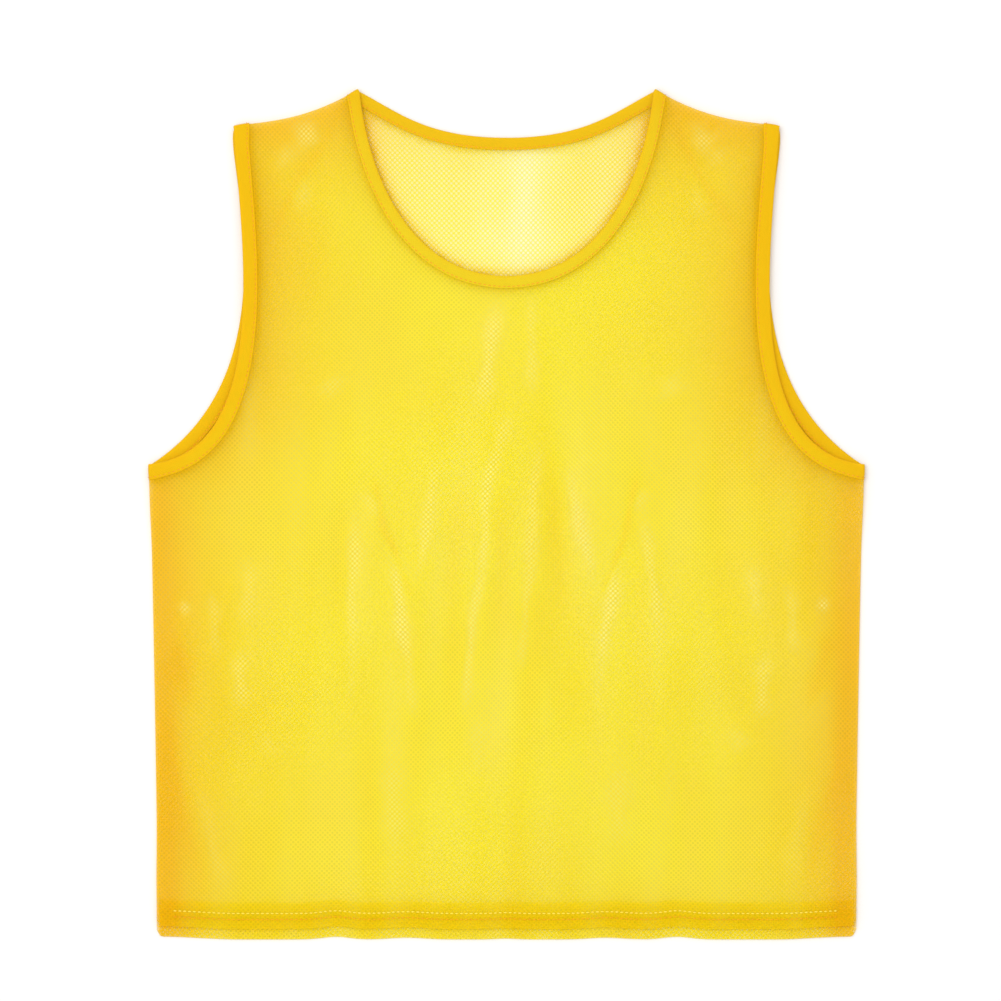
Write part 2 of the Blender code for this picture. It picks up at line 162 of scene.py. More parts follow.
creaseColumns = ("xTop", "yTop", "xFoot", "yFoot", "halfWidth", "height", "stretchSheenShade")

# Broad soft folds of the front, as its solid has them: ridges, or troughs where the height is negative
frontFolds = (
    (0.003, 0.405, -0.030, 0.160, 0.0130, 0.0034, 0.0),
    (0.024, 0.350, 0.022, 0.215, 0.0120, 0.0020, 0.0),
    (-0.013, 0.490, -0.012, 0.425, 0.0140, 0.0022, 0.0),
    (0.021, 0.490, 0.022, 0.425, 0.0120, 0.0014, 0.0),
    (-0.056, 0.362, -0.074, 0.165, 0.0130, 0.0026, 0.0),
    (0.051, 0.362, 0.070, 0.165, 0.0130, 0.0024, 0.0),
    (-0.101, 0.345, -0.119, 0.185, 0.0120, 0.0021, 0.0),
    (0.101, 0.345, 0.117, 0.185, 0.0120, 0.0022, 0.0),
    (-0.197, 0.300, -0.200, 0.165, 0.0140, 0.0022, 0.0),
    (0.197, 0.300, 0.200, 0.165, 0.0140, 0.0022, 0.0),
    (-0.228, 0.275, -0.222, 0.215, 0.0110, 0.0016, 0.0),
    (0.228, 0.275, 0.222, 0.215, 0.0110, 0.0016, 0.0),
    (-0.128, 0.470, -0.132, 0.400, 0.0220, 0.0014, 0.0),
    (0.128, 0.470, 0.132, 0.400, 0.0220, 0.0014, 0.0),
    (-0.180, 0.175, -0.176, 0.120, 0.0140, 0.0013, 0.0),
    (0.180, 0.175, 0.176, 0.120, 0.0140, 0.0013, 0.0),
    (-0.087, 0.150, -0.084, 0.070, 0.0160, 0.0012, 0.0),
    (0.087, 0.150, 0.084, 0.070, 0.0160, 0.0012, 0.0),
    (-0.091, 0.340, -0.080, 0.285, 0.0100, -0.0016, 0.0),
    (0.091, 0.340, 0.080, 0.285, 0.0100, -0.0016, 0.0),
    (-0.004, 0.300, -0.006, 0.130, 0.0110, -0.0016, 0.0),
    (-0.040, 0.330, -0.050, 0.150, 0.0120, -0.0013, 0.0),
    (0.040, 0.330, 0.050, 0.150, 0.0120, -0.0013, 0.0),
    (-0.160, 0.330, -0.155, 0.130, 0.0220, -0.0012, 0.0),
    (0.160, 0.330, 0.155, 0.130, 0.0220, -0.0012, 0.0),
)

# Narrow creases on them: on the raised ones the net is stretched a little more open and a highlight is painted, on the
# sunken ones it is drawn in and shade is painted
frontCreases = (
    (-0.007, 0.484, -0.017, 0.408, 0.0058, 0.0007, 1.00),
    (0.018, 0.490, 0.021, 0.412, 0.0044, 0.0005, 0.70),
    (0.001, 0.402, -0.014, 0.348, 0.0046, 0.0006, 0.70),
    (-0.013, 0.362, -0.018, 0.285, 0.0040, 0.0009, 1.00),
    (-0.018, 0.298, -0.033, 0.180, 0.0037, 0.0008, 0.85),
    (0.024, 0.376, 0.016, 0.268, 0.0042, 0.0006, 0.60),
    (0.016, 0.284, 0.013, 0.202, 0.0038, 0.0005, 0.60),
    (-0.053, 0.361, -0.068, 0.279, 0.0046, 0.0007, 0.75),
    (-0.084, 0.288, -0.077, 0.219, 0.0050, 0.0008, 0.95),
    (-0.077, 0.230, -0.071, 0.170, 0.0034, 0.0004, 0.45),
    (0.047, 0.357, 0.066, 0.273, 0.0046, 0.0007, 0.70),
    (0.082, 0.284, 0.073, 0.219, 0.0052, 0.0008, 0.95),
    (0.074, 0.230, 0.068, 0.173, 0.0034, 0.0004, 0.40),
    (-0.116, 0.322, -0.118, 0.223, 0.0043, 0.0007, 0.80),
    (-0.118, 0.230, -0.120, 0.181, 0.0032, 0.0004, 0.35),
    (0.106, 0.322, 0.115, 0.238, 0.0043, 0.0007, 0.80),
    (0.115, 0.245, 0.117, 0.177, 0.0032, 0.0004, 0.35),
    (-0.100, 0.353, -0.093, 0.307, 0.0024, -0.0002, -0.75),
    (-0.093, 0.311, -0.073, 0.264, 0.0022, -0.0002, -0.75),
    (0.098, 0.353, 0.092, 0.307, 0.0024, -0.0002, -0.75),
    (0.092, 0.311, 0.071, 0.264, 0.0022, -0.0002, -0.75),
    (-0.105, 0.344, -0.101, 0.324, 0.0060, 0.0003, 0.45),
    (0.103, 0.344, 0.100, 0.324, 0.0060, 0.0003, 0.45),
    (-0.034, 0.360, -0.043, 0.260, 0.0085, -0.0002, -0.25),
    (-0.003, 0.340, -0.001, 0.230, 0.0060, -0.0002, -0.25),
    (0.036, 0.350, 0.043, 0.250, 0.0080, -0.0002, -0.22),
    (-0.193, 0.288, -0.199, 0.238, 0.0056, 0.0006, 0.45),
    (-0.205, 0.219, -0.200, 0.177, 0.0056, 0.0006, 0.65),
    (0.187, 0.288, 0.192, 0.250, 0.0056, 0.0006, 0.45),
    (0.196, 0.219, 0.196, 0.172, 0.0056, 0.0006, 0.65),
    (-0.224, 0.265, -0.222, 0.219, 0.0042, 0.0005, 0.55),
    (0.216, 0.269, 0.218, 0.219, 0.0042, 0.0005, 0.55),
    (-0.251, 0.253, -0.241, 0.255, 0.0046, 0.0005, 0.95),
    (0.236, 0.253, 0.246, 0.255, 0.0046, 0.0005, 0.95),
    (-0.251, 0.231, -0.241, 0.181, 0.0062, -0.0004, -0.45),
    (0.244, 0.231, 0.233, 0.181, 0.0062, -0.0004, -0.45),
    (-0.184, 0.164, -0.180, 0.138, 0.0070, 0.0004, 0.35),
    (0.178, 0.164, 0.174, 0.138, 0.0070, 0.0004, 0.35),
    (-0.090, 0.132, -0.086, 0.074, 0.0090, 0.0003, 0.25),
    (0.084, 0.132, 0.085, 0.074, 0.0090, 0.0003, 0.25),
    (-0.024, 0.170, -0.020, 0.128, 0.0060, 0.0003, 0.20),
    (0.032, 0.200, 0.029, 0.158, 0.0060, 0.0003, 0.20),
    (-0.261, 0.155, -0.234, 0.044, 0.0050, -0.0003, -0.30),
    (-0.234, 0.116, -0.217, 0.044, 0.0060, 0.0003, 0.25),
    (0.258, 0.155, 0.230, 0.044, 0.0050, -0.0003, -0.30),
    (0.229, 0.116, 0.216, 0.044, 0.0060, 0.0003, 0.25),
    (-0.148, 0.626, -0.159, 0.601, 0.0072, 0.0005, 0.85),
    (-0.171, 0.605, -0.164, 0.589, 0.0062, 0.0004, 0.50),
    (-0.151, 0.582, -0.159, 0.551, 0.0052, 0.0003, 0.40),
    (-0.133, 0.622, -0.184, 0.532, 0.0032, -0.0004, -0.40),
    (0.144, 0.624, 0.155, 0.601, 0.0072, 0.0005, 0.75),
    (0.165, 0.605, 0.157, 0.589, 0.0062, 0.0004, 0.40),
    (0.140, 0.578, 0.149, 0.551, 0.0052, 0.0003, 0.35),
    (0.126, 0.622, 0.177, 0.532, 0.0032, -0.0004, -0.40),
    (-0.135, 0.431, -0.131, 0.414, 0.0090, 0.0003, 0.38),
    (0.123, 0.433, 0.129, 0.411, 0.0090, 0.0003, 0.38),
    (-0.196, 0.429, -0.194, 0.357, 0.0070, 0.0003, 0.20),
    (0.197, 0.429, 0.196, 0.357, 0.0070, 0.0003, 0.20),
)

# The back lies flat on the surface, so its creases are low
backCreases = (
    (0.0126, 0.625, 0.0140, 0.500, 0.0170, 0.0002, 0.40),
    (-0.020, 0.600, -0.016, 0.520, 0.0120, 0.0001, 0.12),
    (-0.034, 0.400, -0.060, 0.190, 0.0150, 0.0003, 0.25),
    (0.046, 0.420, 0.071, 0.160, 0.0140, 0.0003, 0.25),
    (-0.122, 0.360, -0.109, 0.230, 0.0130, 0.0003, 0.20),
    (0.133, 0.330, 0.118, 0.200, 0.0130, 0.0003, 0.22),
    (0.005, 0.350, -0.004, 0.110, 0.0120, 0.0003, 0.20),
    (-0.190, 0.290, -0.204, 0.180, 0.0110, 0.0003, 0.20),
    (0.187, 0.300, 0.206, 0.200, 0.0110, 0.0003, 0.20),
)


def creaseField(points, rows, value):
    # sum over the rows of a soft bump along each, fading at both ends, none of them quite straight
    x, y = points[:, 0], points[:, 1]
    sway = 0.0009 * np.sin(61.0 * y + 15.0 * x) + 0.0005 * np.sin(150.0 * y - 41.0 * x + 1.0)
    points = np.stack((x + sway, y + 0.002 * np.sin(171.0 * x + 0.7)), axis=-1)
    total = np.zeros(len(points))
    for row in rows:
        crease = dict(zip(creaseColumns, row))
        top = np.array((crease["xTop"], crease["yTop"]))
        foot = np.array((crease["xFoot"], crease["yFoot"]))
        length = np.linalg.norm(foot - top)
        way = (foot - top) / length
        away = points - top
        share = (away @ way) / length
        aside = away[:, 0] * way[1] - away[:, 1] * way[0]
        fade = 0.28 if length > 0.035 else 0.45
        ends = smooth(share, -0.15, fade) * (1.0 - smooth(share, 1.0 - fade, 1.15))
        width = crease["halfWidth"] * (1.0 + 0.30 * np.sin(9.0 * share + 60.0 * crease["xTop"]))
        total += crease[value] * ends * np.exp(-((aside / width) ** 2))
    return total


streaks = {"across": 52.0, "along": 7.5, "height": 0.0007, "stretchSheenShade": 0.34, "pull": 0.0030, "pullScale": 9.0, "patch": 15.0}


def noiseField(points, across, along, seed):
    return np.array([noise.noise(Vector((x * across, y * along, seed))) for x, y in points])


def streakField(points, seed):
    # faint uneven up-and-down streaks between the creases, calmer at the shoulders
    fine = noiseField(points, streaks["across"], streaks["along"], seed)
    wide = noiseField(points, streaks["across"] * 0.37, streaks["along"] * 0.9, seed + 5.0)
    return (0.65 * fine + 0.5 * wide) * (0.35 + 0.65 * (1.0 - smooth(points[:, 1], 0.36, 0.47)))


def rightHalf(points):
    return np.stack((np.abs(points[:, 0]), points[:, 1]), axis=-1)


def zoneFields(points, neckName, armholeName):
    # how far each point is past the level zones at the edges, and the level that those edges have there
    folded = rightHalf(points)
    y = points[:, 1]
    isFront = neckName == "frontNeck"
    hemY = (hem["frontRise"] if isFront else 0.0) + hem["fold"] + 0.0005
    bound = np.full(len(points), levels["frontBound"] if isFront else levels["backBound"])
    zones = (
        (neckName, binding["neckWidth"] + binding["clear"], neckLevel(y) if isFront else bound),
        (armholeName, binding["armholeWidth"] + binding["clear"], bound),
        ("shoulder", 0.0, bound),
        ("side", 0.0, frontSideLevel(y) if isFront else backSideLevel(y)),
    )
    aways, levelList = [], []
    for name, width, level in zones:
        aways.append(np.maximum(distanceTo(folded, lines[name][0]) - width, 0.0))
        levelList.append(level)
    aways.append(np.maximum(y - hemY - hem["depth"] - binding["clear"], 0.0))
    levelList.append(np.full(len(points), levels["frontHem"] if isFront else levels["back"]))
    weights = [1.0 / (away + 0.0005) ** 3 for away in aways]
    level = sum(w * l for w, l in zip(weights, levelList)) / sum(weights)
    return np.min(aways, axis=0), level


def outlineOf(neckName, armholeName, hemY):
    # the flat cut, from the hem's middle up the right side and back down the left
    inset = binding["rawInset"]
    side = lines["side"][0][::-1]
    side = side[side[:, 1] > hemY + 0.002]
    cornerX = float(np.interp(hemY, lines["side"][0][::-1][:, 1], lines["side"][0][::-1][:, 0]))
    armPoints, armAcross = boundEdge(armholeName, cut["step"], corners["arm"], corners["side"])
    neckPoints, neckAcross = boundEdge(neckName, cut["step"], None, corners["neck"])
    shoulder = lines["shoulder"][0][::-1]
    ends = np.array((cut["shoulderEnd"], cut["neckPoint"]))
    far = np.linalg.norm(shoulder[:, None] - ends[None], axis=2).min(axis=1) > 0.003
    side = side[side[:, 1] < cut["underarm"][1] - 0.003]
    chain = [(0.0, hemY), (cornerX, hemY), *side]
    chain += [*(armPoints + armAcross * inset)[::-1], *shoulder[far], *(neckPoints + neckAcross * inset)[::-1]]
    right = [(float(x), float(y)) for x, y in chain]
    right[-1] = (0.0, right[-1][1])
    return right + [(-x, y) for x, y in right[-2:0:-1]]


def nearEdges(mesh, name, margin=2e-4):
    # boundary edges that lie along a seam line, on either half
    edges = [e for e in mesh.edges if e.is_boundary]
    ends = np.array([[(abs(v.co.x), v.co.y) for v in e.verts] for e in edges])
    line = lines[name][0]
    onLine = (distanceTo(ends[:, 0], line) < margin) & (distanceTo(ends[:, 1], line) < margin)
    return [e for e, hit in zip(edges, onLine) if hit]


def extrudeFrom(mesh, edges):
    made = bmesh.ops.extrude_edge_only(mesh, edges=edges)["geom"]
    verts = {g for g in made if isinstance(g, bmesh.types.BMVert)}
    ahead = [g for g in made if isinstance(g, bmesh.types.BMEdge) and all(v in verts for v in g.verts)]
    return verts, ahead


def seamOut(name, x, y):
    # outward direction of a seam line beside a point, and the line's own tangent data
    points, tangents = lines[name]
    k = int(np.argmin(np.hypot(points[:, 0] - abs(x), points[:, 1] - y)))
    out = -rightOf(tangents[k])
    return (out[0] if x > 0 else -out[0]), out[1]


def rollSeam(mesh, layers, name, ownLevel, otherLevel, steps):
    # the cloth rolls over towards the other panel, in a quarter turn
    edges = nearEdges(mesh, name)
    for degrees in steps:
        verts, edges = extrudeFrom(mesh, edges)
        angle = math.radians(degrees)
        for v in verts:
            x, y = v[layers["flat"]].xy
            own, other = float(ownLevel(y)), float(otherLevel(y))
            radius, middle = abs(own - other) / 2, (own + other) / 2
            rise = math.copysign(radius * math.cos(angle), own - other)
            outX, outY = seamOut(name, x, y)
            reach = radius * math.sin(angle)
            v.co = (x + outX * reach, y + outY * reach, middle + rise)
            v[layers["cloth"]] = (x + outX * radius * angle, y + outY * radius * angle, 0.0)


def turnHem(mesh, layers, hemY, level, inward):
    # the hem turns over and lies back along the inside
    edges = [e for e in mesh.edges if e.is_boundary and all(abs(v[layers["flat"]].y - hemY) < 1e-6 for v in e.verts)]
    turn = [(hem["fold"] * math.sin(math.radians(a)), hem["fold"] * (1 - math.cos(math.radians(a))), hem["fold"] * math.radians(a)) for a in (45, 90, 135, 180)]
    flats = [(-rise, 2 * hem["fold"], hem["fold"] * math.pi + rise) for rise in (0.007, 0.014, hem["depth"] - 0.0015)]
    for drop, lift, length in turn + flats:
        verts, edges = extrudeFrom(mesh, edges)
        for v in verts:
            x, y = v[layers["flat"]].xy
            v.co = (x, y - drop, level + inward * lift)
            v[layers["cloth"]] = (x, y - length, 0.0)


panels = {
    "front": {
        "neck": "frontNeck", "armhole": "frontArmhole", "grid": 0.003,
        "hemRise": hem["frontRise"], "hemLevel": levels["frontHem"], "inward": -1.0, "ease": 0.050,
        "folds": frontFolds, "creases": frontCreases, "faces": 1.0, "hemTone": 0.45,
    },
    "back": {
        "neck": "backNeck", "armhole": "backArmhole", "grid": 0.006,
        "hemRise": 0.0, "hemLevel": levels["back"], "inward": 1.0, "ease": 0.022,
        "folds": (), "creases": backCreases, "faces": -1.0, "hemTone": 0.20,
    },
}

tones = {"reach": 0.046, "seam": 0.008, "seamTone": 0.14, "hemReach": 0.030, "row": 0.40, "tightAndShadedReach": 0.0026,
         "neckShade": 0.40}


def layersAndShadeAt(points, names):
    # how orange the cloth looks, most at the outline: painted shade where the sides round away from the light, and
    # partly the extra layers that lie on each other near the seams and bindings
    folded = rightHalf(points)
    away = np.min([distanceTo(folded, lines[name][0]) for name in names], axis=0)
    return np.exp(-away / tones["reach"])


scallops = ((0.0, 0.010, 0.0007), (0.076, 0.018, 0.0014), (0.130, 0.014, 0.0021))


def hemWave(x):
    # the hem's edge isn't quite straight: shallow rises of (place, half width, height) and rounded corners
    x = np.abs(x)
    rise = sum(height * np.exp(-(((x - place) / width) ** 2)) for place, width, height in scallops)
    past = np.clip(x - hemCorner["reach"] + hemCorner["radius"], 0.0, hemCorner["radius"])
    rounding = hemCorner["radius"] - np.sqrt(hemCorner["radius"] ** 2 - past**2)
    return rise + 0.0022 * smooth(x, 0.205, 0.262) + rounding


hemCorner = {"reach": 0.2664, "radius": 0.0050, "cuts": (0.2610, 0.2624, 0.2636)}


def buildPanel(name, spec):
    hemY = spec["hemRise"] + hem["fold"] + 0.0005
    mesh = bmesh.new()
    layers = {
        "flat": mesh.verts.layers.float_vector.new("flat"),
        "cloth": mesh.verts.layers.float_vector.new("cloth"),
        "stretchSheenShade": mesh.verts.layers.float.new("stretchSheenShade"),
        "patch": mesh.verts.layers.float.new("patch"),
        "tightAndShaded": mesh.verts.layers.float.new("tightAndShaded"),
        "layersAndShade": mesh.verts.layers.float.new("layersAndShade"),
    }
    mesh.faces.new([mesh.verts.new((x, y, 0.0)) for x, y in outlineOf(spec["neck"], spec["armhole"], hemY)])
    half, step = 0.272, spec["grid"]
    cuts = [((x, 0, 0), (1, 0, 0)) for x in np.arange(-int(half / step), int(half / step) + 1) * step]
    cuts += [((side * x, 0, 0), (1, 0, 0)) for x in hemCorner["cuts"] for side in (-1, 1)]
    heights = [hemY + r for r in (0.0042, 0.0062, 0.0068, 0.0074, 0.0092, 0.0108, 0.0114, 0.0120, 0.014, 0.018)]
    heights += list(np.arange(hemY + hem["depth"] + binding["clear"], cut["length"], step))
    cuts += [((0, y, 0), (0, 1, 0)) for y in heights]
    for at, normal in cuts:
        geom = mesh.verts[:] + mesh.edges[:] + mesh.faces[:]
        bmesh.ops.bisect_plane(mesh, geom=geom, dist=1e-7, plane_co=at, plane_no=normal)
    points = np.array([v.co.xy for v in mesh.verts])
    away, level = zoneFields(points, spec["neck"], spec["armhole"])
    wanted = levels[name] + creaseField(points, spec["folds"], "height")
    wanted += creaseField(points, spec["creases"], "height")
    if name == "front":
        wanted = np.maximum(wanted + streaks["height"] * streakField(points, 2.0), levels["frontLowest"])
    share = smooth(away, 0.0, spec["ease"])
    heights = level * (1.0 - share) + wanted * share
    for row in hem["rows"]:
        heights -= 0.0002 * np.exp(-(((points[:, 1] - hemY - row) / 0.0007) ** 2)) * (name == "front")
    for v, height in zip(mesh.verts, heights):
        v[layers["flat"]] = v[layers["cloth"]] = v.co
        v.co.z = height
    sideFront, sideBack = frontSideLevel, backSideLevel
    boundFront, boundBack = (lambda y: levels["frontBound"]), (lambda y: levels["backBound"])
    own = (sideFront, boundFront) if name == "front" else (sideBack, boundBack)
    other = (sideBack, boundBack) if name == "front" else (sideFront, boundFront)
    rollSeam(mesh, layers, "side", own[0], other[0], (22, 45, 67, 90))
    rollSeam(mesh, layers, "shoulder", own[1], other[1], (22, 45, 67, 90))
    turnHem(mesh, layers, hemY, spec["hemLevel"], spec["inward"])
    flats = np.array([v[layers["flat"]].xy for v in mesh.verts])
    layersAndShade = layersAndShadeAt(flats, ("side", "shoulder", spec["armhole"]))
    # more orange towards the hem: partly the deeper colour of the turned-up layers, partly painted shade
    hemAway = np.maximum(flats[:, 1] - hemY, 0.0)
    layersAndShade = np.maximum(layersAndShade, spec["hemTone"] * np.exp(-hemAway / tones["hemReach"]))
    sideAway = distanceTo(rightHalf(flats), lines["side"][0])
    layersAndShade += tones["seamTone"] * np.exp(-(((sideAway - 0.011) / tones["seam"]) ** 2))
    if name == "front":
        neckAway = distanceTo(rightHalf(flats), lines["frontNeck"][0])
        layersAndShade += 0.20 * np.exp(-((neckAway / 0.016) ** 2))
        # painted shade in the groove along the lower hem stitch row
        layersAndShade += tones["row"] * np.exp(-(((flats[:, 1] - hemY - hem["rows"][0]) / 0.0008) ** 2))
    if name == "back":
        neckAway = distanceTo(rightHalf(flats), lines["frontNeck"][0])
        layersAndShade += tones["neckShade"] * np.exp(-((neckAway / 0.007) ** 2))
    # beside the bindings the net is drawn tighter, and its warm orange there is painted shade from the binding's edge
    bound = [distanceTo(rightHalf(flats), lines[spec[edge]][0]) - binding[edge + "Width"] for edge in ("neck", "armhole")]
    tightAndShaded = np.exp(-((np.maximum(np.min(bound, axis=0), 0.0) / tones["tightAndShadedReach"]) ** 2))
    # on the back, painted shade under the edge of the front neck binding
    if name == "back":
        tightAndShaded = np.maximum(tightAndShaded, np.exp(-((neckAway / 0.0025) ** 2)))
    # painted highlight on the raised creases and streaks, painted shade in the sunken ones; it also opens or closes
    # the net a little
    stretchSheenShade = creaseField(flats, spec["creases"], "stretchSheenShade")
    stretchSheenShade += streaks["stretchSheenShade"] * streakField(flats, 2.0 if name == "front" else 9.0)
    patch = noiseField(flats, streaks["patch"], streaks["patch"], 4.0)
    pullX = streaks["pull"] * noiseField(flats, streaks["pullScale"], streaks["pullScale"], 6.0)
    pullY = streaks["pull"] * noiseField(flats, streaks["pullScale"], streaks["pullScale"], 8.0)
    for k, v in enumerate(mesh.verts):
        v[layers["layersAndShade"]], v[layers["stretchSheenShade"]], v[layers["patch"]] = float(layersAndShade[k]), float(stretchSheenShade[k]), float(patch[k])
        v[layers["tightAndShaded"]] = float(tightAndShaded[k])
        v[layers["cloth"]] += Vector((pullX[k], pullY[k], 0.0))
        fade = float(1.0 - smooth(np.array(v.co.y), 0.02, 0.07))
        v.co.y += float(hemWave(v.co.x)) * fade - cut["length"] / 2
    bmesh.ops.recalc_face_normals(mesh, faces=mesh.faces)
    mesh.normal_update()
    if sum(f.normal.z * f.calc_area() for f in mesh.faces) * spec["faces"] < 0:
        bmesh.ops.reverse_faces(mesh, faces=mesh.faces)
    weave = mesh.loops.layers.uv.new("cloth")
    for face in mesh.faces:
        face.smooth = True
        for loop in face.loops:
            loop[weave].uv = loop.vert[layers["cloth"]].xy
    data = bpy.data.meshes.new(name + "_cloth")
    mesh.to_mesh(data)
    mesh.free()
    piece = bpy.data.objects.new(name + "_cloth", data)
    bpy.context.scene.collection.objects.link(piece)
    print("built", piece.name, len(data.polygons), "faces")
    return piece


# The strip's section, as (share of the width from the folded edge, height over its middle)
stripProfile = {
    "outside": ((0.0, 0.00), (0.012, 0.46), (0.045, 0.86), (0.11, 1.12), (0.22, 1.26), (0.38, 1.30), (0.54, 1.26),
                (0.67, 1.14), (0.755, 0.98), (0.80, 0.82), (0.845, 0.70), (0.885, 0.76), (0.92, 0.78), (0.96, 0.70),
                (0.99, 0.52)),
    "inside": ((0.99, 0.34), (0.14, 0.34)),
    "step": 0.002,
    "pucker": 0.07,
    "puckerPitch": 0.0047,
    "squash": 0.62,
}


def sectionAt(width, wobble):
    scale = 0.001
    top = [(share * width, rise * scale * (1.0 + wobble)) for share, rise in stripProfile["outside"]]
    inner = [(share * width, rise * scale) for share, rise in stripProfile["inside"]]
    return top + inner + [(a, -b) for a, b in inner[::-1]] + [(a, -b) for a, b in top[:0:-1]]


def edgeFrames(name, level, up, first=None, last=None):
    points, across = boundEdge(name, stripProfile["step"], first, last)
    return [
        (Vector((*p, float(level(p[1])))), Vector((*a, 0.0)), Vector((0.0, 0.0, up)))
        for p, a in zip(points, across)
    ]


def turnFrames(corner, across, outward):
    middle = (levels["frontBound"] + levels["backBound"]) / 2
    radius = (levels["frontBound"] - levels["backBound"]) / 2
    frames = []
    for degrees in range(12, 180, 12):
        angle = math.radians(degrees)
        reach = outward * radius * math.sin(angle)
        point = Vector((corner[0] + reach[0], corner[1] + reach[1], middle + radius * math.cos(angle)))
        up = Vector((outward[0] * math.sin(angle), outward[1] * math.sin(angle), math.cos(angle)))
        frames.append((point, Vector((*across, 0.0)), up))
    return frames


def mirrorFrames(frames):
    flip = Vector((-1.0, 1.0, 1.0))
    return [tuple(part * flip for part in one) for one in frames]


def placed(vector):
    return Vector((vector.x, vector.y - cut["length"] / 2, vector.z))


seamShade = 0.7  # painted shade where a binding turns over a seam and faces sideways


def sweepStrip(name, frames, width, toneLines):
    mesh = bmesh.new()
    spot = mesh.verts.layers.int.new("spot")
    cloth = mesh.verts.layers.float_vector.new("cloth")
    layersAndShade = mesh.verts.layers.float.new("layersAndShade")
    weave = mesh.loops.layers.uv.new("cloth")
    count = len(sectionAt(width, 0.0))
    run = 0.0
    shades = layersAndShadeAt(np.array([tuple(point.xy) for point, across, up in frames]), toneLines)
    starts = [mesh.verts.new((0.0, 0.0, 0.0)) for _ in range(count)]
    for k, v in enumerate(starts):
        v[spot] = k
    edges = [mesh.edges.new((starts[k], starts[(k + 1) % count])) for k in range(count)]
    verts = starts
    for index in range(len(frames) + 1):
        point, across, up = frames[index % len(frames)]
        before = frames[index - 1][0]
        if index:
            run += (point - before).length
            known = set(mesh.faces)
            verts, edges = extrudeFrom(mesh, edges)
        wobble = stripProfile["pucker"] * math.sin(2 * math.pi * run / stripProfile["puckerPitch"])
        wobble -= stripProfile["squash"] * (1.0 - abs(up.z))
        section = sectionAt(width, wobble)
        for v in verts:
            a, b = section[v[spot]]
            v.co = placed(point + across * a + up * b)
            side = 1.0 if v[spot] < count / 2 else -1.0
            v[cloth] = (run, a * side, 0.0)
            v[layersAndShade] = shades[index % len(frames)] + seamShade * (1.0 - abs(up.z))
        if index:
            for face in (f for v in verts for f in v.link_faces if f not in known):
                for loop in face.loops:
                    loop[weave].uv = loop.vert[cloth].xy
    bmesh.ops.remove_doubles(mesh, verts=mesh.verts, dist=1e-6)
    bmesh.ops.recalc_face_normals(mesh, faces=mesh.faces)
    for face in mesh.faces:
        face.smooth = True
    data = bpy.data.meshes.new(name)
    mesh.to_mesh(data)
    mesh.free()
    piece = bpy.data.objects.new(name, data)
    bpy.context.scene.collection.objects.link(piece)
    print("built", name, len(data.polygons), "faces")
    return piece


def backBoundLevel(y):
    return levels["backBound"]


def frontBoundLevel(y):
    return levels["frontBound"]


def neckRing():
    front = edgeFrames("frontNeck", neckLevel, 1.0, None, corners["neck"])
    turn = turnFrames(cut["neckPoint"], corners["neck"], -rightOf(neckAxis))
    back = edgeFrames("backNeck", backBoundLevel, -1.0, None, corners["neck"])[::-1]
    right = front + turn + back
    return right + mirrorFrames(right)[-2:0:-1]


def armholeRing():
    front = edgeFrames("frontArmhole", frontBoundLevel, 1.0, corners["arm"], corners["side"])
    under = turnFrames(cut["underarm"], corners["side"], -rightOf(sideAxis))
    back = edgeFrames("backArmhole", backBoundLevel, -1.0, corners["arm"], corners["side"])[::-1]
    over = turnFrames(cut["shoulderEnd"], corners["arm"], rightOf(armAxis))[::-1]
    return front + under + back + over


stitching = {"length": 0.0028, "gap": 0.0009, "radius": 0.00036, "row": 0.845, "sink": 0.74}


def addStitch(mesh, middle, along, up, radius):
    side = along.cross(up).normalized()
    turn = Matrix((along.normalized(), side, up.normalized())).transposed().to_4x4()
    size = Matrix.Diagonal((stitching["length"] / 2, radius, radius, 1.0))
    bmesh.ops.create_icosphere(mesh, subdivisions=1, radius=1.0, matrix=Matrix.Translation(middle) @ turn @ size)


def threadPiece(name, mesh):
    for face in mesh.faces:
        face.smooth = True
    data = bpy.data.meshes.new(name)
    mesh.to_mesh(data)
    mesh.free()
    piece = bpy.data.objects.new(name, data)
    bpy.context.scene.collection.objects.link(piece)
    print("sewn", name, len(data.polygons), "faces")
    return piece


def stitchRing(name, frames, width):
    # one row of stitches along each face of a binding
    mesh = bmesh.new()
    pitch = stitching["length"] + stitching["gap"]
    for face in (1.0, -1.0):
        path = [placed(p + a * width * stitching["row"] + u * face * stitching["sink"] / 1000) for p, a, u in frames]
        ups = [u * face for p, a, u in frames]
        left = pitch / 2
        for k in range(len(path)):
            start, end = path[k], path[(k + 1) % len(path)]
            length = (end - start).length
            while left < length:
                middle = start.lerp(end, left / length)
                addStitch(mesh, middle, end - start, ups[k], stitching["radius"])
                left += pitch
            left -= length
    return threadPiece(name, mesh)


def hemStitches():
    mesh = bmesh.new()
    pitch = stitching["length"] + stitching["gap"]
    hemY = hem["frontRise"] + hem["fold"] + 0.0005
    half = cut["hemCorner"][0] - 0.012
    for row, thickness in zip(hem["rows"], hem["threads"]):
        known = len(mesh.faces)
        for x in np.arange(-half, half, pitch):
            fade = float(1.0 - smooth(np.array(hemY + row), 0.02, 0.07))
            y = hemY + row + float(hemWave(x)) * fade
            middle = placed(Vector((x, y, levels["frontHem"] + 0.00030)))
            addStitch(mesh, middle, Vector((1, 0, 0)), Vector((0, 0, 1)), thickness)
        mesh.faces.ensure_lookup_table()
        for face in mesh.faces[known:]:
            face.material_index = hem["rows"].index(row)
    return threadPiece("hem_stitches", mesh)


